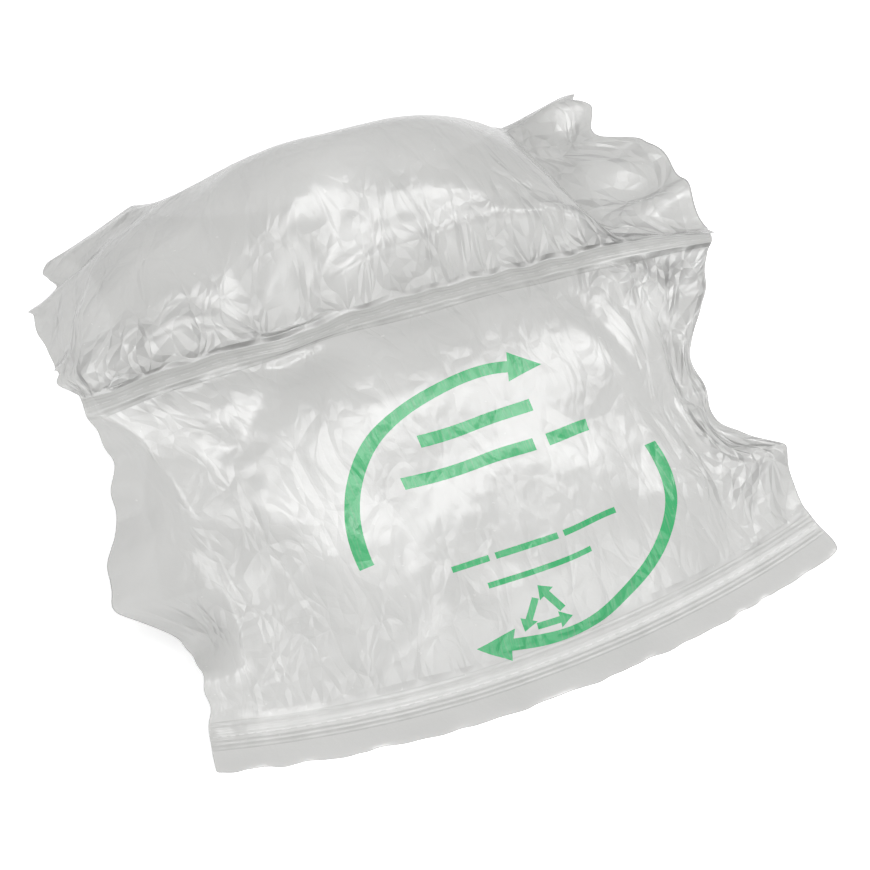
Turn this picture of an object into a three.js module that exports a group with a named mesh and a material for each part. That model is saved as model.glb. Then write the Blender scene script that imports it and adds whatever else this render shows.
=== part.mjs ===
// A torn-off strip of three heat-sealed air pillows, folded into a small bundle.
// One web of doubled film runs from the torn front edge on the floor, up the leaning front pillow,
// back over the top pillow, round a fold at the rear and forward again along the bottom pillow.
// Millimetres, +Z up, +X across the web, +Y towards the back. The origin is under the middle of the bundle.
import * as THREE from "three";
import { mergeVertices } from "three/addons/utils/BufferGeometryUtils.js";

// The film web
const filmWidth = 203; // across the web, from flange edge to flange edge
const leftFlange = 25; // flat film outside the left end seal, where the pillows were filled
const rightFlange = 20; // flat film outside the right end seal
const sealThickness = 0.8; // the welded plies, with enough body to be a solid
const crossSeal = 9; // sealed band between two pillows, along the web
const perforationNotch = 6; // how far the web's edge is nicked in at each band's perforation
const frontSkirt = 9; // film left past the front pillow's last seal
const rearSkirt = 6; // film left past the bottom pillow's last seal

// The inflated pillows: length along the web between seals, how far each face stands out from the seals, and how
// it falls away towards the left and right end and towards the first and second cross seal. Each fall has two
// powers: a higher first one keeps the middle level for longer, and a lower second one meets the seal more steeply.
const frontPillow = {
  length: 93,
  outerRise: 8,
  innerRise: 22,
  ends: [[3, 1.4], [4, 1.3]],
  seals: [[3, 1], [5, 1]],
};
const topPillow = {
  length: 83,
  outerRise: 37,
  innerRise: 24,
  ends: [[2, 1], [2.8, 0.7]],
  seals: [[2, 0.6], [2, 0.65]],
};
const bottomPillow = {
  length: 110,
  outerRise: 42,
  innerRise: 24,
  ends: [[2.6, 0.65], [2.6, 0.65]],
  seals: [[2, 0.5], [2, 0.5]],
};

// The strip's outline. Places along the strip are counted in pillows: 0 is the front pillow's first seal, 1 the upper
// seal, 2 the rear fold and 3 the bottom pillow's last seal. Each run lists how far the line stands out there from
// its straight course, where the pillows draw it in or a corner sticks out.
const endSealRuns = {
  left: [[0, 5.5], [0.27, 1.5], [0.53, 2.5], [0.74, 6.5], [0.91, 15], [1, 20], [1.14, 21.5], [1.52, 11.5], [1.69, 1.5],
    [1.86, -4.5], [2.5, -6.5], [3, 3.5]],
  right: [[0, 1.5], [0.36, -2.5], [0.51, -5.5], [0.74, -3.5], [1, 0.5], [1.48, -7.5], [1.91, -7.5], [2.5, -11.5], [3, -13.5]],
};
const edgeRuns = {
  left: [[0, -1.5], [0.13, -1], [0.2, -12.5], [0.47, -14.5], [0.64, -11.5], [0.86, -2.5], [1, 5.5], [1.52, 9.5], [1.61, 8.5],
    [1.68, -7.5], [1.78, -2.5], [2, -8.5], [2.26, -6.5], [2.64, -1.5], [3, 6.5]],
  right: [[0, 7.5], [0.15, 2.5], [0.33, -2.5], [0.5, -14.5], [0.57, -16.5], [0.73, -11.5], [0.97, -5.5], [1, 2.5], [1.09, 10],
    [1.22, 9.5], [1.48, 1.5], [1.58, 5.5], [1.78, 2.5], [2, -2.5], [2.5, -3.5], [3, -23.5]],
};
// How far the free edges turn outwards, away from the fold's inside
const curlRuns = {
  left: [[1, 0], [1.6, 2], [1.8, 5], [2, 4], [2.2, 0]],
  right: [[1, 0], [1.09, -6], [1.48, 2], [2, 2], [2.2, 0]],
};
// How far the end seals are pushed up
const liftRuns = {
  left: [[1, 0], [1.18, 6], [1.39, 14], [1.61, 22], [1.79, 26], [1.95, 21], [2, 12], [2.17, 2], [2.3, 0]],
  right: [[1.3, 0], [1.82, 10], [2, 6], [2.25, 0]],
};
const liftReach = { left: 2, right: 4 }; // power by which the lift fades towards the middle of the web
const liftKept = { left: 0.1, right: 1 }; // share of it that is left at the flange's free edge

// How the web is folded, as directions in the side view, in degrees above the horizontal
const skirtLean = 10;
const frontLean = 38;
const topLean = -10;
const bottomLean = -164;
const frontBow = 20; // the torn front edge stands this far ahead of its corners
const bowAt = -12; // where across the web it stands furthest forward
const upperDroop = 5; // the ends of the upper seal hang this far below its middle
const rearShift = 10; // the rear fold lies this far to the right of the front edge
const foldClearance = 0.4; // from each of two pillows to the plane where they press together

// Gathers where the slack film meets the cross seals, and the waves of the flanges
const gatherPitch = 19;
const gatherDepth = 0.24; // share of the rise
const gatherReach = 20; // how far a gather runs into the pillow
const gatherDrift = 1.6; // how unevenly the gathers are spaced, in radians
const gatherDriftPitch = 2.7; // gathers from one crowded place to the next
const gatherOffset = 1.3; // shifts each seal's gathers against the last, in radians
const pinchAt = -38; // the deep pinch in the upper seal, across the web
const pinchWidth = 9;
const pinchDepth = 0.42; // share of the rise
const pinchReach = 34;
const flangeWave = 5; // how far a flange's free edge waves to each side
const flangeTurns = 7; // the waves along half a pillow, in radians
const flangeOffset = 2; // sets the waves of the two flanges against each other, in radians

// Mesh density
const bodyColumns = 36;
const flangeColumns = 3;
const pillowRows = 12;
const sealRows = 4;
const skirtRows = 2;

const pillows = [frontPillow, topPillow, bottomPillow];
const radians = THREE.MathUtils.degToRad;
const halfFilm = filmWidth / 2;
const bodyCentre = (leftFlange - rightFlange) / 2;
const film = new THREE.MeshStandardMaterial({
  color: 0xd6d8d9,
  roughness: 0.3,
  metalness: 0,
});

// Each station is one row of the web: its spot and direction in the side view, its place along the strip, the pillow
// that it crosses, and its shares of the front edge's bow and of the upper seal's droop.
function webStations() {
  const stations = [];
  let heading = radians(skirtLean);
  let y = 0;
  let z = sealThickness / 2;
  const advance = (length, turn, row) => {
    y += length * Math.cos(heading + turn / 2);
    z += length * Math.sin(heading + turn / 2);
    heading += turn;
    stations.push({ y, z, heading, nick: 0, bow: 0, droop: 0, ...row });
  };
  let place = 0;
  const skirtRun = (length, lean, row) => {
    const turn = (radians(lean) - heading) / skirtRows;
    for (let i = 1; i <= skirtRows; i++) advance(length / skirtRows, turn, { place, ...row });
  };
  const sealRun = (lean, row) => {
    const turn = (radians(lean) - heading) / sealRows;
    for (let i = 1; i <= sealRows; i++) {
      const nick = perforationNotch * Math.sin((Math.PI * i) / sealRows);
      advance(crossSeal / sealRows, turn, { place, ...row, nick });
    }
  };
  const pillowRun = (pillow, shares) => {
    for (let i = 1; i <= pillowRows; i++) {
      const before = -Math.cos((Math.PI * (i - 1)) / pillowRows);
      const along = -Math.cos((Math.PI * i) / pillowRows);
      const done = (1 + along) / 2;
      advance(((along - before) / 2) * pillow.length, 0, { place: place + done, pillow, along, ...shares(done) });
    }
    place += 1;
  };
  advance(0, 0, { place, bow: 1 });
  skirtRun(frontSkirt, skirtLean, { bow: 1 });
  sealRun(frontLean, { bow: 1 });
  pillowRun(frontPillow, (done) => ({ bow: 1 - done, droop: done }));
  sealRun(topLean, { droop: 1 });
  pillowRun(topPillow, (done) => ({ droop: 1 - done }));
  sealRun(bottomLean, {});
  pillowRun(bottomPillow, () => ({}));
  sealRun(bottomLean, {});
  skirtRun(rearSkirt, bottomLean, {});
  return stations;
}

// Where each column lies across the web: u runs from -1 to 1 between the end seals, and out from 0 to 1
// over a flange. The columns are closer together towards the end seals.
function webColumns() {
  const columns = [];
  const closing = 0.4 * Math.PI;
  for (let i = flangeColumns; i > 0; i--) columns.push({ u: -1, out: i / flangeColumns });
  for (let i = 0; i <= bodyColumns; i++) {
    const share = (2 * i) / bodyColumns - 1;
    columns.push({ u: Math.sin(share * closing) / Math.sin(closing), out: 0 });
  }
  for (let i = 1; i <= flangeColumns; i++) columns.push({ u: 1, out: i / flangeColumns });
  return columns;
}

// A swelling from 0 at both ends, -1 and 1, to 1 between them, which falls away as its two ends say.
function crown(at, falls) {
  const [level, steep] = falls[at < 0 ? 0 : 1];
  return Math.max(0, 1 - Math.abs(at) ** level) ** steep;
}

// The value of a run at a place along the strip.
function runAt(run, place) {
  const next = run.findIndex(([at]) => at > place);
  if (next < 0) return run[run.length - 1][1];
  if (next === 0) return run[0][1];
  const [[from, low], [to, high]] = [run[next - 1], run[next]];
  return low + ((high - low) * (place - from)) / (to - from);
}

// Uneven ridges across the web, from 0 in a valley to 1 on a ridge.
function gatherRidge(x, shift) {
  const turns = (2 * Math.PI * x) / gatherPitch;
  const drift = gatherDrift * Math.sin(turns / gatherDriftPitch + shift);
  return 0.5 + 0.5 * Math.sin(turns + drift + shift);
}

// How far one face of a pillow stands out from the middle of the web.
function pillowRise(pillow, along, u, x, outer) {
  const toSeal = ((1 - Math.abs(along)) / 2) * pillow.length;
  const seal = pillows.indexOf(pillow) + (along > 0 ? 1 : 0);
  const gather = gatherDepth * gatherRidge(x, gatherOffset * seal) * Math.exp(-toSeal / gatherReach);
  const fromUpperSeal = ((pillow === frontPillow ? 1 - along : 1 + along) / 2) * pillow.length;
  const pinched = outer && pillow !== bottomPillow;
  const pinch = pinchDepth * Math.exp(-(((x - pinchAt) / pinchWidth) ** 2) - fromUpperSeal / pinchReach);
  const dents = 1 - gather - (pinched ? pinch : 0);
  const rise = outer ? pillow.outerRise : pillow.innerRise;
  return rise * crown(along, pillow.seals) * crown(u, pillow.ends) * dents;
}

// The room inside the rear fold, where the top and bottom pillows press together.
const foldTurn = radians(topLean - bottomLean);
const foldHalf = (Math.PI - foldTurn) / 2;
function roomInFold(pillow, along) {
  const fromFold = ((pillow === topPillow ? 1 - along : 1 + along) / 2) * pillow.length;
  const halfGap = (crossSeal / foldTurn) * Math.sin(foldTurn / 2);
  return (halfGap + fromFold * Math.sin(foldHalf)) / Math.cos(foldHalf) - foldClearance;
}

// The point of the web at a station and column, on its outer (1) or inner (-1) face.
function webPoint(station, column, face, rearmost) {
  const { pillow, along, heading, place } = station;
  const side = column.u < 0 ? "left" : "right";
  const level = pillow ? 1 - along ** 2 : 0;
  const sealAt = halfFilm - (column.u < 0 ? leftFlange : rightFlange) + runAt(endSealRuns[side], place);
  const flange = halfFilm + runAt(edgeRuns[side], place) - sealAt - station.nick;
  const edge = Math.sign(column.u) * column.out;
  const x = (1 - Math.abs(column.u)) * bodyCentre + column.u * sealAt + edge * flange;
  const y = station.y - frontBow * station.bow * (1 - ((x - bowAt) / halfFilm) ** 2);
  const kick = Math.abs(column.u) ** liftReach[side] * THREE.MathUtils.lerp(1, liftKept[side], column.out);
  const z = station.z - upperDroop * station.droop * (x / halfFilm) ** 2 + runAt(liftRuns[side], place) * kick;
  const outward = { y: -Math.sin(heading), z: Math.cos(heading) };
  const wave = pillow ? Math.sin(flangeTurns * along + flangeOffset * column.u) : 0;
  let rise = sealThickness / 2;
  if (pillow && !column.out) rise = Math.max(rise, pillowRise(pillow, along, column.u, x, face > 0));
  if (face < 0 && pillow && pillow !== frontPillow) rise = Math.min(rise, roomInFold(pillow, along));
  const curl = runAt(curlRuns[side], place) * column.out ** 2;
  const reach = flangeWave * edge * level * wave + curl + face * rise;
  const toFloor = -z / outward.z;
  const kept = outward.z > 0 ? Math.max(reach, toFloor) : Math.min(reach, toFloor);
  return [x + (rearShift * station.y) / rearmost, y + outward.y * kept, z + outward.z * kept];
}

// A thin flat box, one cell deep, is laid along the stations and columns and swollen into pillows.
function pillowStrip() {
  const stations = webStations();
  const columns = webColumns();
  const rearmost = Math.max(...stations.map((station) => station.y));
  const across = columns.length - 1;
  const down = stations.length - 1;
  const web = new THREE.BoxGeometry(across, down, 1, across, down, 1);
  web.deleteAttribute("normal");
  web.deleteAttribute("uv");
  const place = web.getAttribute("position");
  for (let i = 0; i < place.count; i++) {
    const column = columns[Math.round(place.getX(i) + across / 2)];
    const station = stations[Math.round(place.getY(i) + down / 2)];
    place.setXYZ(i, ...webPoint(station, column, Math.sign(place.getZ(i)), rearmost));
  }
  const strip = mergeVertices(web);
  strip.computeBoundingBox();
  const { min, max } = strip.boundingBox;
  strip.translate(-(min.x + max.x) / 2, -(min.y + max.y) / 2, -min.z);
  strip.computeVertexNormals();
  return strip;
}

const airPillowStrip = new THREE.Mesh(pillowStrip(), film);
airPillowStrip.name = "air_pillow_strip";

const bundle = new THREE.Group();
bundle.add(airPillowStrip);

export default bundle;
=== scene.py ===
import math
import time

import bmesh
import bpy
import numpy as np
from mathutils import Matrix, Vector, noise


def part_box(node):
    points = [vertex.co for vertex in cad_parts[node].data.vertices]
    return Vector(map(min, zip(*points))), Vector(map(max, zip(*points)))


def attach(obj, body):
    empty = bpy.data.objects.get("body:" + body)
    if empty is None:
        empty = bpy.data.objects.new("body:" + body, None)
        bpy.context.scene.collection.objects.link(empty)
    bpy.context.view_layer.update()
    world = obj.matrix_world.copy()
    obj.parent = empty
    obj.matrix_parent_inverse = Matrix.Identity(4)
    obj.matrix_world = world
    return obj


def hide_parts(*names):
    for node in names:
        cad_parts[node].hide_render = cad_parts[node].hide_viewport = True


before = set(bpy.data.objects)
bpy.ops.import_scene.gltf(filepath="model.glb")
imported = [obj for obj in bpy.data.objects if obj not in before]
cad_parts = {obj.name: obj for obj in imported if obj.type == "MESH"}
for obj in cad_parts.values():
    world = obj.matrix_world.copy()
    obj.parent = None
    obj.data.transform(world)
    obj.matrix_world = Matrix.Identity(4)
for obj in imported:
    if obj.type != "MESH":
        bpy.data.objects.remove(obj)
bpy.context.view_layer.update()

scene = bpy.context.scene
scene.view_settings.view_transform = "Standard"
scene.cycles.transparent_max_bounces = 24  # the eye looks through many plies


# The film web, in metres: one doubled length of film, from the torn front edge to the bottom pillow's end
web = {
    "width": 0.203,
    "leftFlange": 0.025,
    "rightFlange": 0.020,
    "pillowFilm": 0.117,  # from seal to seal, lying flat
    "crossSeal": 0.009,
    "frontSkirt": 0.009,
    "rearSkirt": 0.006,
    "weld": 0.0002,  # between the faces of the welded plies
    "columns": 84,
    "leftColumns": 9,
    "rightColumns": 7,
    "closing": 0.3,  # how much closer the columns stand towards the end seals
    "fineSteps": 401,  # along a pillow, to measure its film
    "pillowRows": (50, 60, 32),
    "sealRows": 4,
    "frontRows": 3,
    "rearRows": 2,
}
# Each pillow: its length between seals, how far its faces stand out, how round it is towards its left
# and right end and towards its first and second seal, and how uneven its film is
pillows = [
    {"length": 0.093, "outer": 0.008, "inner": 0.022, "ends": ((3.0, 1.4), (4.0, 1.3)),
     "along": ((3.0, 1.0), (5.0, 1.0)), "uneven": 0.0013},
    {"length": 0.083, "outer": 0.0370, "inner": 0.024, "ends": ((2.0, 1.0), (2.8, 0.7)),
     "along": ((2.0, 0.72), (2.0, 0.65)), "uneven": 0.0010},
    {"length": 0.110, "outer": 0.042, "inner": 0.024, "ends": ((2.6, 0.65), (2.6, 0.65)),
     "along": ((2.0, 0.5), (2.0, 0.5)), "uneven": 0.0014},
]
fold = {  # directions in the side view, in degrees
    "skirtLean": 10,
    "frontLean": 38,
    "topLean": -10,
    "bottomLean": -164,
    "frontBow": 0.020,
    "bowAt": -0.012,  # where across the web the front edge stands furthest forward
    "bowReach": {-1: 0.1015, 1: 0.120},  # from there to where it is level with the pillow, left and right
    "torn": 0.0012,  # how ragged the front edge is
    "tornSize": 0.007,
    "tornNoise": (0.8, 2.0, 3),
    "upperDroop": 0.005,
    "rearShift": 0.010,
    "clearance": 0.0004,
}


def swell(at, ends):  # from 0 at both ends, -1 and 1, to 1 between them
    full, power = ends[0 if at < 0 else 1]
    return max(0.0, 1 - abs(at) ** full) ** power


def evenSteps(shape, count):  # shares of a pillow's length, for equal lengths of film on its outer face
    done = np.linspace(0, 1, web["fineSteps"])
    rise = np.array([shape["outer"] * swell(2 * d - 1, shape["along"]) for d in done])
    film = np.concatenate(([0], np.hypot(np.diff(done) * shape["length"], np.diff(rise)).cumsum()))
    return np.interp(np.arange(1, count + 1) / count, film / film[-1], done).tolist()


def webRows():
    rows = []
    at = {"y": 0.0, "z": web["weld"] / 2, "heading": math.radians(fold["skirtLean"]), "film": 0.0}

    def run(length, filmLength, lean, steps, kind, pillow=None, shares=None):
        turn = (math.radians(lean) - at["heading"]) / len(steps)
        for before, done in zip([0.0] + steps, steps):
            at["y"] += length * (done - before) * math.cos(at["heading"] + turn / 2)
            at["z"] += length * (done - before) * math.sin(at["heading"] + turn / 2)
            at["heading"] += turn
            at["film"] += filmLength / len(steps)
            bow, droop = shares(done) if shares else (0, 0)
            rows.append({**at, "kind": kind, "pillow": pillow, "done": done, "bow": bow, "droop": droop})

    def flatRun(length, lean, count, kind, shares=None):
        run(length, length, lean, [(i + 1) / count for i in range(count)], kind, None, shares)

    def pillowRun(pillow, lean, shares=None):
        steps = evenSteps(pillows[pillow], web["pillowRows"][pillow])
        run(pillows[pillow]["length"], web["pillowFilm"], lean, steps, "pillow", pillow, shares)

    rows.append({**at, "kind": "skirt", "pillow": None, "done": 0.0, "bow": 1, "droop": 0})
    seal, sealRows = web["crossSeal"], web["sealRows"]
    flatRun(web["frontSkirt"], fold["skirtLean"], web["frontRows"], "skirt", lambda d: (1, 0))
    flatRun(seal, fold["frontLean"], sealRows, "seal", lambda d: (1, 0))
    pillowRun(0, fold["frontLean"], lambda d: (1 - d, d))
    flatRun(seal, fold["topLean"], sealRows, "seal", lambda d: (0, 1))
    pillowRun(1, fold["topLean"], lambda d: (0, 1 - d))
    flatRun(seal, fold["bottomLean"], sealRows, "seal")
    pillowRun(2, fold["bottomLean"])
    flatRun(seal, fold["bottomLean"], sealRows, "seal")
    flatRun(web["rearSkirt"], fold["bottomLean"], web["rearRows"], "skirt")
    return rows


rows = webRows()
rowCount = len(rows) - 1
columnCount = web["columns"]
spotCount = (rowCount + 1) * (columnCount + 1)
bodyFirst, bodyLast = web["leftColumns"], columnCount - web["rightColumns"]
halfBody = (web["width"] - web["leftFlange"] - web["rightFlange"]) / 2
bodyCentre = (web["leftFlange"] - web["rightFlange"]) / 2
rearmost = max(row["y"] for row in rows)
filmLength = rows[-1]["film"]
sealMiddles = [(rows[n - 1]["film"] + rows[n + web["sealRows"] - 1]["film"]) / 2
               for n in range(1, rowCount) if rows[n]["kind"] == "seal" and rows[n - 1]["kind"] != "seal"]
printEnd = max(row["film"] for row in rows if row["pillow"] == 0)
print("web", rowCount, "rows", columnCount, "columns", round(filmLength, 4), "m of film")


def acrossWeb(i):  # place across the flat film, share of the body from -1 to 1, share of a flange from 0 to 1
    if i < bodyFirst:
        out = 1 - i / bodyFirst
        return bodyCentre - halfBody - out * web["leftFlange"], -1.0, out
    if i > bodyLast:
        out = (i - bodyLast) / (columnCount - bodyLast)
        return bodyCentre + halfBody + out * web["rightFlange"], 1.0, out
    closing = web["closing"] * math.pi
    u = math.sin((2 * (i - bodyFirst) / (bodyLast - bodyFirst) - 1) * closing) / math.sin(closing)
    return bodyCentre + u * halfBody, u, 0.0


def roomInFold(pillow, along):  # where the top and bottom pillows press together
    turn = math.radians(fold["topLean"] - fold["bottomLean"])
    half = (math.pi - turn) / 2
    share = (1 - along) / 2 if pillow == 1 else (1 + along) / 2
    gap = web["crossSeal"] / turn * math.sin(turn / 2)
    room = (gap + share * pillows[pillow]["length"] * math.sin(half)) / math.cos(half)
    return max(0.0, room - fold["clearance"])


start = {
    "flangeWave": 0.0100,
    "flangeSize": 0.017,  # of the flanges' waves along the film
    "ragged": 0.0030,  # how uneven the free edges are
    "raggedSize": 0.011,
    "curlShape": 1.3,  # how late a flange turns on its way out
    "creaseRoom": 0.008,  # how high a pillow stands where its creases reach their full depth
    "sealRipple": 0.0001,
    "sealPitch": 0.017,
    "sealDrift": 130.0,
    "sealShare": 0.2,  # of a crease that goes on into the seal
    "unevenSize": 0.024,
    "seed": 4.7,
    "vectorSeed": 5,
    "lanes": {"flange": (5.0, 1.6), "ply": 3.0, "edge": 9.0},  # apart in the noise, so that no two look alike
}
noise.seed_set(start["vectorSeed"])  # without it the uneven film comes out differently each run
# Where the end seals and the film's edges run on the left (-1) and right (1): the place along the film
# and the distance from the film's middle
endSeals = {
    -1: [(0.0, 0.082), (0.018, 0.082), (0.050, 0.078), (0.080, 0.079), (0.105, 0.083), (0.125, 0.089),
         (0.137, 0.096), (0.160, 0.098), (0.190, 0.091), (0.208, 0.080), (0.225, 0.067), (0.245, 0.057),
         (0.262, 0.057), (0.300, 0.064), (0.330, 0.070), (0.387, 0.080), (0.402, 0.080)],
    1: [(0.0, 0.083), (0.018, 0.083), (0.047, 0.081), (0.060, 0.079), (0.078, 0.076), (0.105, 0.078),
        (0.122, 0.079), (0.139, 0.082), (0.200, 0.074), (0.250, 0.074), (0.330, 0.070), (0.387, 0.068),
        (0.402, 0.068)],
}
edges = {
    -1: [(0.0, 0.099), (0.012, 0.0965), (0.028, 0.0945), (0.046, 0.092), (0.054, 0.091), (0.060, 0.099),
         (0.068, 0.106), (0.078, 0.106), (0.086, 0.103), (0.095, 0.100), (0.105, 0.097), (0.119, 0.096),
         (0.137, 0.101), (0.165, 0.104), (0.180, 0.102), (0.205, 0.101), (0.215, 0.1005), (0.224, 0.088),
         (0.235, 0.091), (0.250, 0.088), (0.261, 0.080), (0.270, 0.072), (0.300, 0.070), (0.330, 0.075),
         (0.360, 0.085), (0.402, 0.090)],
    1: [(0.0, 0.109), (0.005, 0.110), (0.020, 0.104), (0.036, 0.104), (0.046, 0.1055), (0.055, 0.095),
        (0.064, 0.087), (0.085, 0.088), (0.103, 0.091), (0.110, 0.094), (0.118, 0.100), (0.126, 0.104),
        (0.134, 0.107), (0.144, 0.112), (0.155, 0.115), (0.170, 0.115), (0.190, 0.115), (0.200, 0.114),
        (0.210, 0.111), (0.216, 0.101), (0.226, 0.100), (0.235, 0.103), (0.242, 0.097), (0.250, 0.101),
        (0.261, 0.097), (0.290, 0.1015), (0.330, 0.098), (0.360, 0.086), (0.402, 0.078)],
}
flangeWaves = {  # share of the wave, by pillow and side
    (0, -1): 0.25, (0, 1): 0.8, (1, -1): 1.0, (1, 1): 1.7, (2, -1): 0.6, (2, 1): 0.6,
}
flangeCurl = {  # how far the free edge turns outwards, by side and place along the film
    -1: [(0.0, 0.0), (0.036, 0.0), (0.050, -0.018), (0.100, -0.020), (0.137, 0.0), (0.210, 0.002),
         (0.235, 0.005), (0.261, 0.0), (0.402, 0.0)],
    1: [(0.0, 0.0), (0.060, 0.003), (0.130, 0.0), (0.155, -0.005), (0.190, 0.002), (0.225, 0.006),
        (0.250, 0.007), (0.262, 0.005), (0.275, 0.0), (0.402, 0.0)],
}
endLift = {  # how far the end seals are pushed up
    -1: [(0.0, 0.0), (0.144, 0.0), (0.165, 0.006), (0.190, 0.012), (0.215, 0.017), (0.236, 0.019),
         (0.255, 0.016), (0.270, 0.008), (0.290, 0.002), (0.310, 0.0), (0.402, 0.0)],
    1: [(0.0, 0.0), (0.180, 0.0), (0.240, 0.010), (0.270, 0.006), (0.300, 0.0), (0.402, 0.0)],
}
endReach = {-1: 2.0, 1: 4.0}  # how near its end the pillow rises with its seal
endFall = {-1: 0.9, 1: 0.0}  # how much of that the flange gives back at its edge
# Creases in the outer ply: from and to on the film, half width, and depth at both ends, below 0 for ridges
creases = [
    ((-0.029, 0.138), (-0.046, 0.212), 0.018, 0.010, 0.004),  # the pinch, up the top pillow
    ((-0.029, 0.138), (-0.008, 0.175), 0.012, 0.006, 0.003),
    ((-0.040, 0.154), (-0.078, 0.160), 0.010, -0.002, -0.002),
    ((-0.030, 0.134), (-0.058, 0.109), 0.008, 0.004, 0.002),  # and down the front one
    ((-0.058, 0.109), (-0.075, 0.127), 0.006, 0.002, 0.001),
    ((-0.070, 0.131), (-0.045, 0.128), 0.012, -0.002, -0.002),
    ((-0.086, 0.124), (-0.062, 0.088), 0.010, -0.0015, -0.001),
    ((-0.080, 0.108), (-0.068, 0.070), 0.010, 0.0015, 0.001),
    ((-0.070, 0.079), (-0.034, 0.080), 0.004, -0.001, 0.0),
    ((-0.014, 0.155), (0.073, 0.160), 0.009, -0.002, -0.003),  # the bright ridge above the gathers
    ((-0.018, 0.143), (-0.017, 0.157), 0.006, 0.005, 0.0),
    ((-0.006, 0.143), (-0.009, 0.156), 0.006, 0.006, 0.0),
    ((0.007, 0.143), (0.010, 0.154), 0.006, 0.004, 0.0),
    ((0.020, 0.143), (0.015, 0.157), 0.007, 0.006, 0.0),
    ((0.033, 0.143), (0.035, 0.155), 0.006, 0.005, 0.0),
    ((0.046, 0.143), (0.042, 0.158), 0.007, 0.006, 0.0),
    ((0.060, 0.143), (0.064, 0.160), 0.007, 0.005, 0.0),
    ((-0.052, 0.143), (-0.047, 0.160), 0.006, 0.004, 0.0),
    ((-0.072, 0.143), (-0.064, 0.165), 0.007, 0.004, 0.0),
    ((0.058, 0.126), (0.071, 0.098), 0.008, 0.004, 0.002),  # folds at the front pillow's right end
    ((0.072, 0.118), (0.092, 0.080), 0.008, 0.004, 0.003),
    ((0.064, 0.112), (0.072, 0.080), 0.006, 0.002, 0.001),
]


def between(table, at):
    for (a, low), (b, high) in zip(table, table[1:]):
        if at <= b:
            return low + (high - low) * (at - a) / (b - a)
    return table[-1][1]


def creaseDepth(across, along):
    depth = 0.0
    for (x0, s0), (x1, s1), wide, first, last in creases:
        dx, ds = x1 - x0, s1 - s0
        t = ((across - x0) * dx + (along - s0) * ds) / (dx * dx + ds * ds)
        t = min(1.0, max(0.0, t))
        away = math.hypot(across - x0 - t * dx, along - s0 - t * ds)
        depth += (first + (last - first) * t) * max(0.0, 1 - away / wide)
    return depth


def startPoint(j, i, side):
    row = rows[j]
    flatX, u, out = acrossWeb(i)
    heading, pillow = row["heading"], row["pillow"]
    y, z, lift, curl, bulge = row["y"], row["z"], 0.0, 0.0, Vector()
    left = -1 if u < 0 else 1
    lanes = start["lanes"]
    if pillow is not None:
        shape = pillows[pillow]
        along = 2 * row["done"] - 1
        level = 1 - along ** 2
        if out == 0:
            tallest = shape["outer" if side > 0 else "inner"]
            lift = tallest * swell(along, shape["along"]) * swell(u, shape["ends"])
            if side > 0:
                lift -= creaseDepth(flatX, row["film"]) * min(1.0, lift / start["creaseRoom"])
        if side < 0 and pillow > 0:
            lift = min(lift, roomInFold(pillow, along))
        lane, twist = lanes["flange"]
        onFlange = Vector((row["film"] / start["flangeSize"], left * (lane + twist * out), start["seed"]))
        curl = out * level * flangeWaves[pillow, left] * start["flangeWave"] * noise.noise(onFlange)
        if out > 0:
            curl -= creaseDepth(flatX, row["film"]) * level
        size = start["unevenSize"]
        spot = Vector((flatX / size, row["film"] / size, side * lanes["ply"] + start["seed"]))
        bulge = shape["uneven"] * noise.noise_vector(spot)
    sealAt = between(endSeals[left], row["film"])
    x = (1 - abs(u)) * bodyCentre + u * sealAt + left * out * (between(edges[left], row["film"]) - sealAt)
    atEdge = Vector((row["film"] / start["raggedSize"], left * lanes["edge"], start["seed"]))
    x += left * out * start["ragged"] * noise.noise(atEdge)
    z += between(endLift[left], row["film"]) * abs(u) ** endReach[left] * (1 - endFall[left] * out)
    fromBow = x - fold["bowAt"]
    y -= fold["frontBow"] * row["bow"] * (1 - (fromBow / fold["bowReach"][-1 if fromBow < 0 else 1]) ** 2)
    if j == 0:
        atTear = Vector((x / fold["tornSize"], 0, start["seed"]))
        y += fold["torn"] * (1 + noise.fractal(atTear, *fold["tornNoise"]))
    z -= fold["upperDroop"] * row["droop"] * (x / (web["width"] / 2)) ** 2
    ripple = 0.0
    if row["kind"] == "seal":
        wave = 2 * math.pi * flatX / start["sealPitch"] + math.sin(flatX * start["sealDrift"])
        ripple = start["sealRipple"] * math.sin(wave)
        if row["droop"]:
            ripple -= start["sealShare"] * creaseDepth(flatX, row["film"])
    reach = curl + out ** start["curlShape"] * between(flangeCurl[left], row["film"]) + ripple + side * lift
    outY, outZ = -math.sin(heading), math.cos(heading)
    point = Vector((x + fold["rearShift"] * row["y"] / rearmost, y + outY * reach, z + outZ * reach)) + bulge
    point.z = max(point.z, 0.0)
    return point


def gridPlace(point):  # row and column of a place on the flat grid
    return round((point.y + 0.5) * rowCount), round((point.x + 0.5) * columnCount)


def spotPlace(spot):  # row and column of a numbered spot, on either ply
    return divmod(spot % spotCount, columnCount + 1)


def isPillowCell(j, i):
    return bodyFirst <= i < bodyLast and rows[j + 1]["kind"] == "pillow"


def isPillowSpot(j, i):  # inside a pillow, clear of its seals
    inRows = rows[j]["kind"] == "pillow" and rows[min(j + 1, rowCount)]["kind"] == "pillow"
    return bodyFirst < i < bodyLast and inRows


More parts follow.
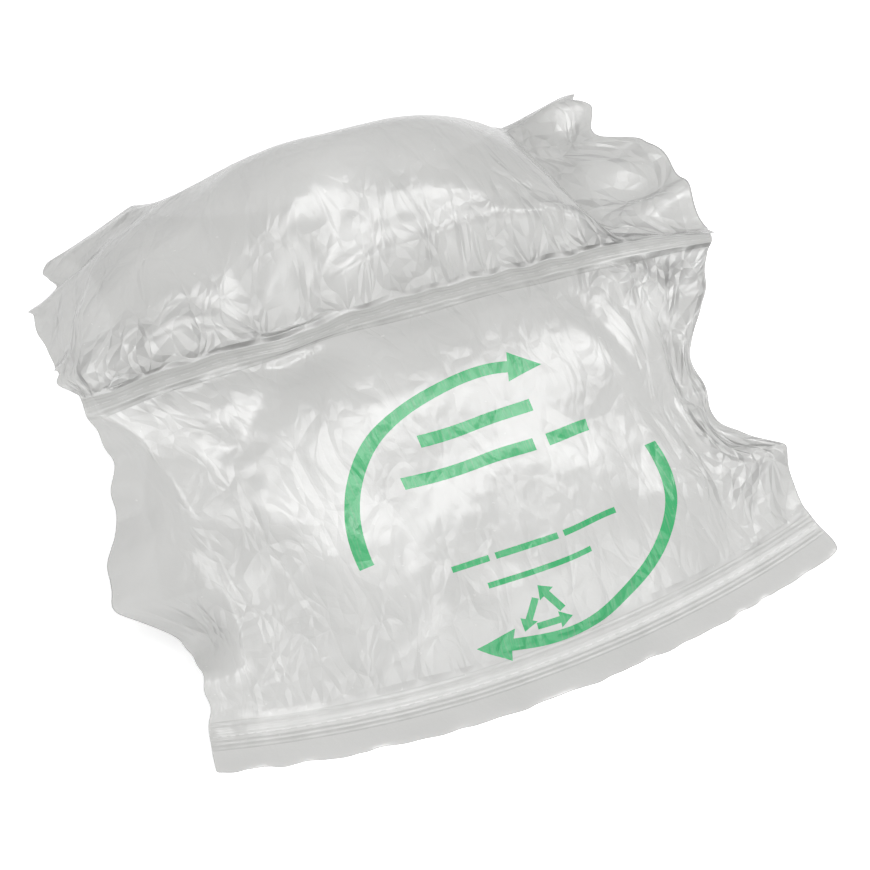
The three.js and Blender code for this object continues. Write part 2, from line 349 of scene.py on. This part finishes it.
# How much spare film there is at each place, from 0, smooth, to 1, crumpled
spare = {
    "pillow": (0.06, 0.05, 0.08),  # in the middle of each pillow
    "atSeal": (0.10, 0.30, 0.20),  # more towards the cross seals
    "atEnd": (0.05, 0.12, 0.12),  # and towards the end seals
    "reach": 0.018,
    "flange": {(0, -1): 0.04, (0, 1): 0.3, (1, -1): 0.15, (1, 1): 0.35, (2, -1): 0.1, (2, 1): 0.1},
    "seal": 0.01,
}
# Crumpled patches: place on the film, radius and how much more spare film
patches = [
    ((-0.062, 0.080), 0.012, 0.10),
    ((-0.086, 0.056), 0.009, 0.4),
    ((-0.058, 0.152), 0.016, 0.35),
    ((0.084, 0.146), 0.016, 0.8),
    ((0.090, 0.130), 0.014, 0.6),
    ((0.088, 0.050), 0.014, 0.4),
]


def spareFilm(j, i):
    row = rows[j]
    flatX, u, out = acrossWeb(i)
    pillow = row["pillow"]
    if pillow is None:
        return spare["seal"]
    side = -1 if u < 0 else 1
    more = sum(amount * math.exp(-((flatX - x) ** 2 + (row["film"] - s) ** 2) / size ** 2)
               for (x, s), size, amount in patches)
    if out > 0:
        return min(1.0, spare["flange"][pillow, side] + more)
    toSeal = min(row["done"], 1 - row["done"]) * web["pillowFilm"]
    toEnd = (1 - abs(u)) * halfBody
    amount = (spare["pillow"][pillow] + spare["atSeal"][pillow] * math.exp(-toSeal / spare["reach"])
              + spare["atEnd"][pillow] * math.exp(-toEnd / spare["reach"]))
    return min(1.0, amount + more)


# The film is filled at ten times its size, where the solver is at ease
air = {
    "scale": 10.0,
    "merge": 0.00001,  # joins the plies at the seals
    "frames": 24,
    "steps": 6,
    "mass": 0.003,
    "tension": 40.0,
    "compression": 40.0,
    "shear": 20.0,
    "bending": 0.08,
    "growth": 0.12,  # of fully crumpled film
    "hold": 0.38,
    "creaseHold": 0.008,  # depth of a crease that doesn't fill out at all
    "pressure": 1.5,
    "push": (0.1, 1.0, 1.0),  # each pillow's share of it
    "drag": 4.0,
}


def fillPillows():
    began = time.time()
    mesh = bmesh.new()
    spotLayer = mesh.verts.layers.int.new("spot")
    bmesh.ops.create_grid(mesh, x_segments=columnCount, y_segments=rowCount, size=0.5)
    for v in mesh.verts:
        j, i = gridPlace(v.co)
        v[spotLayer] = j * (columnCount + 1) + i
    copied = bmesh.ops.duplicate(mesh, geom=mesh.verts[:] + mesh.edges[:] + mesh.faces[:])["geom"]
    innerFaces = [g for g in copied if isinstance(g, bmesh.types.BMFace)]
    bmesh.ops.reverse_faces(mesh, faces=innerFaces)
    for v in (g for g in copied if isinstance(g, bmesh.types.BMVert)):
        v[spotLayer] += spotCount

    def spotOf(v):
        return spotPlace(v[spotLayer])

    for v in mesh.verts:
        side = -1 if v[spotLayer] >= spotCount and isPillowSpot(*spotOf(v)) else 1
        v.co = startPoint(*spotOf(v), side) * air["scale"]
    welded = [f for f in innerFaces if not isPillowCell(*min(spotOf(v) for v in f.verts))]
    bmesh.ops.delete(mesh, geom=welded, context="FACES")
    seamVerts = [v for v in mesh.verts if not isPillowSpot(*spotOf(v))]
    bmesh.ops.remove_doubles(mesh, verts=seamVerts, dist=air["merge"] * air["scale"])
    mesh.verts.index_update()
    spots = [v[spotLayer] for v in mesh.verts]
    data = bpy.data.meshes.new("pillowFilm")
    mesh.to_mesh(data)
    mesh.free()
    film = bpy.data.objects.new("pillowFilm", data)
    scene.collection.objects.link(film)
    groups = {name: film.vertex_groups.new(name=name) for name in ("pressed", "held", "spare")}
    for n, spot in enumerate(spots):
        j, i = spotPlace(spot)
        onSeal = rows[j]["kind"] == "seal" or rows[min(j + 1, rowCount)]["kind"] == "seal"
        inBody = bodyFirst - 1 <= i <= bodyLast + 1
        push = air["push"][rows[j]["pillow"]] if isPillowSpot(j, i) else 0.0
        groups["pressed"].add([n], push, "REPLACE")
        crease = abs(creaseDepth(acrossWeb(i)[0], rows[j]["film"])) if spot < spotCount else 0.0
        hold = min(1.0, air["hold"] + crease / air["creaseHold"])
        groups["held"].add([n], 1.0 if onSeal and inBody else hold, "REPLACE")
        groups["spare"].add([n], spareFilm(j, i), "REPLACE")
    cloth = film.modifiers.new("air", "CLOTH")
    settings = cloth.settings
    settings.quality = air["steps"]
    settings.mass = air["mass"]
    settings.tension_stiffness = air["tension"]
    settings.compression_stiffness = air["compression"]
    settings.shear_stiffness = air["shear"]
    settings.bending_stiffness = air["bending"]
    settings.air_damping = air["drag"]
    settings.use_pressure = True
    settings.uniform_pressure_force = air["pressure"]
    settings.vertex_group_pressure = "pressed"
    settings.vertex_group_mass = "held"
    settings.vertex_group_shrink = "spare"
    settings.shrink_min = 0.0
    settings.shrink_max = -air["growth"]
    settings.effector_weights.gravity = 0
    cloth.collision_settings.use_collision = False
    for step in range(1, air["frames"] + 1):
        scene.frame_set(step)
    shown = film.evaluated_get(bpy.context.evaluated_depsgraph_get()).data
    places = np.empty(len(spots) * 3)
    shown.vertices.foreach_get("co", places)
    places = places.reshape(-1, 3) / air["scale"]
    outer, inner = np.full((2, rowCount + 1, columnCount + 1, 3), np.nan)
    for n, spot in enumerate(spots):
        (outer if spot < spotCount else inner)[spotPlace(spot)] = places[n]
    bpy.data.objects.remove(film)
    scene.frame_set(1)
    print("film filled,", len(spots), "points", round(time.time() - began, 1), "s")
    # The plies share the seals
    return np.where(np.isnan(outer), inner, outer), np.where(np.isnan(inner), outer, inner)


outer, inner = fillPillows()


# The finished film: two plies, closed all round
def dressFilm():
    low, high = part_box("air_pillow_strip")
    acrossPlaces, alongPlaces = outer[..., 0], outer[..., 1]
    shift = (low[0] + high[0] - acrossPlaces.min() - acrossPlaces.max()) / 2
    place = np.array((shift, low[1] - alongPlaces.min(), 0.0))
    mesh = bmesh.new()
    bmesh.ops.create_grid(mesh, x_segments=columnCount, y_segments=rowCount, size=0.5)
    uv = mesh.loops.layers.uv.new("web")
    crumple = mesh.verts.layers.float.new("crumple")
    outerVerts = mesh.verts[:]
    copied = bmesh.ops.duplicate(mesh, geom=mesh.verts[:] + mesh.edges[:] + mesh.faces[:])["geom"]
    innerVerts = [g for g in copied if isinstance(g, bmesh.types.BMVert)]
    innerFaces = set(g for g in copied if isinstance(g, bmesh.types.BMFace))
    bmesh.ops.reverse_faces(mesh, faces=list(innerFaces))
    for f in mesh.faces:
        for loop in f.loops:
            j, i = gridPlace(loop.vert.co)
            across = acrossWeb(i)[0] / web["width"] + 0.5 + (1 if f in innerFaces else 0)
            loop[uv].uv = (across, rows[j]["film"] / filmLength)
        middle = round((f.calc_center_median().y + 0.5) * rowCount + 0.5)
        f.material_index = 1 if f not in innerFaces and rows[middle]["film"] <= printEnd else 0
    normal = np.cross(np.gradient(outer, axis=1), np.gradient(outer, axis=0))
    normal /= np.linalg.norm(normal, axis=2, keepdims=True) + 1e-12
    for verts, ply, side in ((outerVerts, outer, 1), (innerVerts, inner, -1)):
        for v in verts:
            j, i = gridPlace(v.co)
            spot = ply[j, i] + place
            if not isPillowSpot(j, i):
                spot = spot + side * web["weld"] / 2 * normal[j, i]
            v.co = (spot[0], spot[1], max(spot[2], 0.0))
            v[crumple] = spareFilm(j, i)
    rim = [e for e in mesh.edges if e.is_boundary]
    for e in rim:
        e.smooth = False
    for f in bmesh.ops.bridge_loops(mesh, edges=rim)["faces"]:
        for loop in f.loops:
            loop[uv].uv = (0, 0)  # plain film all round the edge
    data = bpy.data.meshes.new("airPillowFilm")
    mesh.to_mesh(data)
    mesh.free()
    for p in data.polygons:
        p.use_smooth = True
    film = bpy.data.objects.new("airPillowFilm", data)
    scene.collection.objects.link(film)
    smooth = film.modifiers.new("smooth", "SUBSURF")
    smooth.levels = smooth.render_levels = 1
    smooth.uv_smooth = "NONE"  # keeps the edge faces from pulling the film places
    return film


film = dressFilm()
print("film faces", len(film.data.polygons))


# Shader maths as plain expressions
class Wire:
    def __init__(self, graph, socket):
        self.graph, self.socket = graph, socket

    def math(self, operation, *others):
        return self.graph.node("ShaderNodeMath", {"operation": operation}, (self, *others))

    def flipped(self, operation, other):
        return self.graph.node("ShaderNodeMath", {"operation": operation}, (other, self))

    def __add__(self, other):
        return self.math("ADD", other)

    def __radd__(self, other):
        return self.math("ADD", other)

    def __sub__(self, other):
        return self.math("SUBTRACT", other)

    def __rsub__(self, other):
        return self.flipped("SUBTRACT", other)

    def __mul__(self, other):
        return self.math("MULTIPLY", other)

    def __rmul__(self, other):
        return self.math("MULTIPLY", other)

    def __truediv__(self, other):
        return self.math("DIVIDE", other)

    def __rtruediv__(self, other):
        return self.flipped("DIVIDE", other)

    def __abs__(self):
        return self.math("ABSOLUTE")

    def __lt__(self, other):
        return self.math("LESS_THAN", other)

    def __gt__(self, other):
        return self.math("GREATER_THAN", other)

    def least(self, other):
        return self.math("MINIMUM", other)

    def most(self, other):
        return self.math("MAXIMUM", other)

    def beside(self, output):  # another output of the same node
        return Wire(self.graph, self.socket.node.outputs[output])


class Graph:
    def __init__(self, owner):
        owner.use_nodes = True
        self.tree = owner.node_tree
        self.shader = next(n for n in self.tree.nodes if n.type in ("BSDF_PRINCIPLED", "BACKGROUND"))

    def node(self, kind, settings=None, inputs=(), output=0):
        made = self.tree.nodes.new(kind)
        for name, value in (settings or {}).items():
            setattr(made, name, value)
        for key, value in (inputs.items() if isinstance(inputs, dict) else enumerate(inputs)):
            if isinstance(value, Wire):
                self.tree.links.new(value.socket, made.inputs[key])
            else:
                made.inputs[key].default_value = value
        return Wire(self, made.outputs[output])

    def feed(self, name, value):
        if isinstance(value, Wire):
            self.tree.links.new(value.socket, self.shader.inputs[name])
        else:
            self.shader.inputs[name].default_value = value


# The front pillow's print, in metres on the film: two arrows that chase each other round a ring
ink = {
    "colour": (0.012, 0.41, 0.130, 1.0),
    "centre": (0.0115, 0.0638),
    "radius": 0.0508,
    "squash": 0.867,  # of the ring along the film
    "stroke": 0.0044,
    "arcs": ((188.0, 75.0), (5.0, -108.0)),  # from the tail to the head, clockwise
    "headLength": 0.011,
    "headWidth": 0.0058,
    "badge": (0.0075, 0.0290),
    "badgeSize": 0.0066,
    "badgeSide": (0.62, 0.17, 0.1, 0.62),  # in sizes: from the middle, half width, shift and half length
    "badgeHead": (0.55, 0.6, 0.42),  # in sizes: base, length and half width
    "bars": (  # middle, half length and height
        ((0.008, 0.092), 0.019, 0.0040),
        ((0.001, 0.080), 0.022, 0.0040), ((0.036, 0.080), 0.008, 0.0040),
        ((-0.010, 0.050), 0.006, 0.0020), ((0.008, 0.050), 0.010, 0.0020), ((0.030, 0.050), 0.010, 0.0020),
        ((0.010, 0.042), 0.017, 0.0018),
    ),
    "streaks": (1500.0, 90.0),  # how fine the ink's streaks are, across and along the film
    "cover": (0.78, 0.44),  # of the ink between the streaks, and how much more on them
    "alpha": 0.95,
}


def headMask(x, y, at, heading, length, halfWidth):  # a solid arrowhead with its base at a point
    dx, dy = x - at[0], y - at[1]
    along = dx * math.cos(heading) + dy * math.sin(heading)
    aside = abs(dy * math.cos(heading) - dx * math.sin(heading))
    return (along > 0.0) * (aside < (1 - along / length) * halfWidth)


def printMask(across, along):
    x, y = across - ink["centre"][0], (along - ink["centre"][1]) / ink["squash"]
    fromRing = abs((x * x + y * y).math("SQRT") - ink["radius"])
    ring = fromRing < ink["stroke"] / 2
    mask = None
    for tail, head in ink["arcs"]:
        middle, half = math.radians((tail + head) / 2), math.radians((tail - head) / 2)
        towards = x * math.cos(middle) + y * math.sin(middle)
        sideways = abs(y * math.cos(middle) - x * math.sin(middle))
        arc = ring * (sideways.math("ARCTAN2", towards) < half)
        end = math.radians(head)
        tip = (ink["radius"] * math.cos(end), ink["radius"] * math.sin(end))
        arc = arc.most(headMask(x, y, tip, end - math.pi / 2, ink["headLength"], ink["headWidth"]))
        mask = arc if mask is None else mask.most(arc)
    for (bx, by), half, tall in ink["bars"]:
        bar = (abs(across - bx) < half) * (abs(along - by) < tall / 2)
        mask = mask.most(bar)
    bx, by = across - ink["badge"][0], along - ink["badge"][1]
    away, wide, shift, half = (ink["badgeSize"] * share for share in ink["badgeSide"])
    base, length, halfHead = (ink["badgeSize"] * share for share in ink["badgeHead"])
    for turn in (0, 120, 240):
        c, s = math.cos(math.radians(turn)), math.sin(math.radians(turn))
        a, b = bx * c + by * s, by * c - bx * s
        side = (abs(b + away) < wide) * (abs(a - shift) < half)
        mask = mask.most(side).most(headMask(a, b, (base, -away), 0.0, length, halfHead))
    return mask


filmLook = {
    "thin": (0.62, 0.62, 0.607, 1.0),
    "thick": (0.71, 0.71, 0.697, 1.0),
    "alpha": (0.74, 0.16),  # at its clearest, and how much more where it is cloudy
    "cloudScale": 32.0,
    "roughness": (0.17, 0.14),  # at its smoothest, and how much more on the grain
    "coatRoughness": 0.15,
    "mottle": 0.00008,  # metres of fine grain
    "mottleScale": 420.0,
    "sealPitch": 0.0015,  # of the fine lines along the cross seals
    "sealRelief": 0.00005,
    "tearHighlight": (0.95, 0.95, 0.95, 1.0),  # the tear-off dashes along the middle of each cross seal, painted light as highlights
    "tearWidth": 0.0002,
    "tearPitch": 0.004,
    "tearDash": 0.6,  # share of the pitch
    "tearHighlightShare": 0.25,  # how plain the painted highlight on them is
    "facets": ((0.022, 0.5), (0.008, 0.35)),  # length of the crinkle's facets, and how far they lean
    "facetShape": 2.2,  # how much longer than wide
    "driftScale": 50.0,
    "drift": (0.016, 0.016, 0.0),  # how far the facets' edges wander
    "weld": (0.50, 0.50, 0.485, 1.0),  # painted shade along the cross seals, in blotches
    "weldShadeShare": 0.9,
    "shadeBlotchScale": 70.0,
}


def mixed(g, share, first, second):
    return g.node("ShaderNodeMix", {"data_type": "RGBA"}, {0: share, 6: first, 7: second}, 2)


def clouds(g, place, scale, detail, output=0):
    return g.node("ShaderNodeTexNoise", None, {"Vector": place, "Scale": scale, "Detail": detail}, output)


def filmMaterial(name, printed):
    material = bpy.data.materials.new(name)
    g = Graph(material)
    place = g.node("ShaderNodeTexCoord", None, (), "Object")
    mottle = g.node("ShaderNodeTexNoise", None, {"Vector": place, "Scale": filmLook["mottleScale"],
                                                 "Detail": 2.0, "Roughness": 0.6})
    cloud = clouds(g, place, filmLook["cloudScale"], 1.0)
    crumple = g.node("ShaderNodeAttribute", {"attribute_name": "crumple"}, (), "Fac")
    uv = g.node("ShaderNodeSeparateXYZ", None, (g.node("ShaderNodeUVMap", {"uv_map": "web"}),))
    across = (uv - 0.5) * web["width"]
    along = uv.beside(1) * filmLength
    flat = g.node("ShaderNodeCombineXYZ", None, (across * filmLook["facetShape"], along, 0.0))
    drift = clouds(g, flat, filmLook["driftScale"], 0.0, "Color")
    bent = g.node("ShaderNodeVectorMath", {"operation": "MULTIPLY_ADD"}, (drift, filmLook["drift"], flat))
    relief = mottle * filmLook["mottle"]
    fromSeal = abs(along - sealMiddles[0])
    for middle in sealMiddles[1:]:
        fromSeal = fromSeal.least(abs(along - middle))
    band = fromSeal < web["crossSeal"] / 2
    lines = (fromSeal * (2 * math.pi / filmLook["sealPitch"])).math("SINE")
    relief = relief + band * lines * filmLook["sealRelief"]
    for size, lean in filmLook["facets"]:
        facet = g.node("ShaderNodeTexVoronoi", {"feature": "DISTANCE_TO_EDGE", "voronoi_dimensions": "2D"},
                       {"Vector": bent, "Scale": 1 / size}, "Distance")
        relief = relief + facet * crumple * (size * lean)
    bump = g.node("ShaderNodeBump", None, {"Strength": 1.0, "Distance": 1.0, "Height": relief})
    colour = mixed(g, cloud, filmLook["thin"], filmLook["thick"])
    shadeBlotches = clouds(g, flat, filmLook["shadeBlotchScale"], 1.0)
    # Painted shade along the cross seals, in blotches
    colour = mixed(g, filmLook["weldShadeShare"] * band * shadeBlotches, colour, filmLook["weld"])
    # The tear-off dashes, with painted highlights
    dash = (across / filmLook["tearPitch"]).math("FRACT") < filmLook["tearDash"]
    tearHighlight = (fromSeal < filmLook["tearWidth"]) * dash * filmLook["tearHighlightShare"]
    colour = mixed(g, tearHighlight, colour, filmLook["tearHighlight"])
    clearest, more = filmLook["alpha"]
    alpha = clearest + more * cloud
    gloss = 1.0
    if printed:
        fine, coarse = ink["streaks"]
        streak = clouds(g, g.node("ShaderNodeCombineXYZ", None, (across * fine, along * coarse, 0.0)), 1.0, 2.0)
        least, more = ink["cover"]
        mask = printMask(across, along) * (least + more * streak).least(1.0)
        colour = mixed(g, mask, colour, ink["colour"])
        alpha = alpha.most(mask * ink["alpha"])
        gloss = 1.0 - mask
    smoothest, more = filmLook["roughness"]
    g.feed("Base Color", colour)
    g.feed("Roughness", smoothest + more * mottle)
    g.feed("Alpha", alpha)
    g.feed("Normal", bump)
    g.feed("Specular IOR Level", 1.0)
    g.feed("Coat Weight", gloss)
    g.feed("Coat Roughness", filmLook["coatRoughness"])
    return material


film.data.materials.append(filmMaterial("film", False))
film.data.materials.append(filmMaterial("printedFilm", True))
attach(film, "root")
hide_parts("air_pillow_strip")


# Camera, at the photograph's angle
view = {
    "azimuth": -26.3,
    "elevation": 37.4,
    "distance": 0.9,
    "lens": 123.2,
    "sensor": 36,
    "aim": (0.0018, -0.0046, 0.045),
    "right": -0.0003,  # the picture's shift
    "down": 0.0166,
}


def makeCamera():
    a, e = math.radians(view["azimuth"]), math.radians(view["elevation"])
    back = Vector((math.sin(a) * math.cos(e), -math.cos(a) * math.cos(e), math.sin(e)))
    right = Vector((math.cos(a), math.sin(a), 0))
    aim = Vector(view["aim"]) + right * view["right"] - back.cross(right) * view["down"]
    data = bpy.data.cameras.new("camera")
    data.lens = view["lens"]
    data.sensor_width = view["sensor"]
    camera = bpy.data.objects.new("camera", data)
    camera.location = aim + back * view["distance"]
    camera.rotation_euler = back.to_track_quat("Z", "Y").to_euler()
    scene.collection.objects.link(camera)
    scene.camera = camera


makeCamera()

stageFloor = {
    "size": 3,
    "colour": (0.85, 0.85, 0.85, 1),
    "roughness": 0.9,
    "glow": 0.6,  # lifts it to the picture's white
    "glossyShare": 0.22,  # of the glow that the film mirrors
}
floorMesh = bmesh.new()
bmesh.ops.create_grid(floorMesh, x_segments=1, y_segments=1, size=stageFloor["size"])
floorData = bpy.data.meshes.new("floor")
floorMesh.to_mesh(floorData)
floorMesh.free()
floor = bpy.data.objects.new("floor", floorData)
scene.collection.objects.link(floor)
floorMaterial = bpy.data.materials.new("floor")
g = Graph(floorMaterial)
g.feed("Base Color", stageFloor["colour"])
g.feed("Roughness", stageFloor["roughness"])
rays = g.node("ShaderNodeLightPath")
seen = rays.most(stageFloor["glossyShare"] * rays.beside("Is Glossy Ray"))
seen = seen.most(rays.beside("Is Transmission Ray"))
glow = seen * stageFloor["glow"]
g.feed("Emission Strength", 1.0)
g.feed("Emission Color", g.node("ShaderNodeCombineColor", None, (glow, glow, glow)))
floorData.materials.append(floorMaterial)

sky = {"horizon": 0.62, "top": 0.52}  # a soft studio, a little darker overhead
world = bpy.data.worlds.new("studio")
scene.world = world
g = Graph(world)
towards = g.node("ShaderNodeSeparateXYZ", None, (g.node("ShaderNodeTexCoord"),), 2)
level = sky["horizon"] + (sky["top"] - sky["horizon"]) * towards.most(0.0)
level = level.most(g.node("ShaderNodeLightPath"))  # the eye sees plain white behind the film
g.feed("Color", g.node("ShaderNodeCombineColor", None, (level, level, level)))
g.feed("Strength", 1.0)


lamps = [  # aimed at the film or, with a turn in degrees, straight down
    {"name": "key", "place": (0.56, -0.19, 1.10), "size": (1.45, 0.28), "power": 4.8, "turn": 9},
    {"name": "low", "place": (0.18, -0.85, 1.05), "size": (0.5, 0.25), "power": 1.2},
    {"name": "left", "place": (-0.62, -0.20, 1.00), "size": (0.4, 0.4), "power": 1.2},
    {"name": "front", "place": (0.30, -1.05, 0.60), "size": (1.2, 0.5), "power": 2.4},
    # Softens the left end without a glint
    {"name": "fill", "place": (-1.0, 0.0, 0.22), "size": (0.8, 0.8), "power": 2.5, "glint": False},
]


def makeLamp(name, place, size, power, turn=None, glint=True):
    data = bpy.data.lights.new(name, "AREA")
    data.shape = "RECTANGLE"
    data.size, data.size_y = size
    data.energy = power
    lamp = bpy.data.objects.new(name, data)
    lamp.location = place
    if turn is None:
        lamp.rotation_euler = Vector(place).to_track_quat("Z", "Y").to_euler()
    else:
        lamp.rotation_euler = (0, 0, math.radians(turn))
    lamp.visible_glossy = glint
    scene.collection.objects.link(lamp)


for settings in lamps:
    makeLamp(**settings)
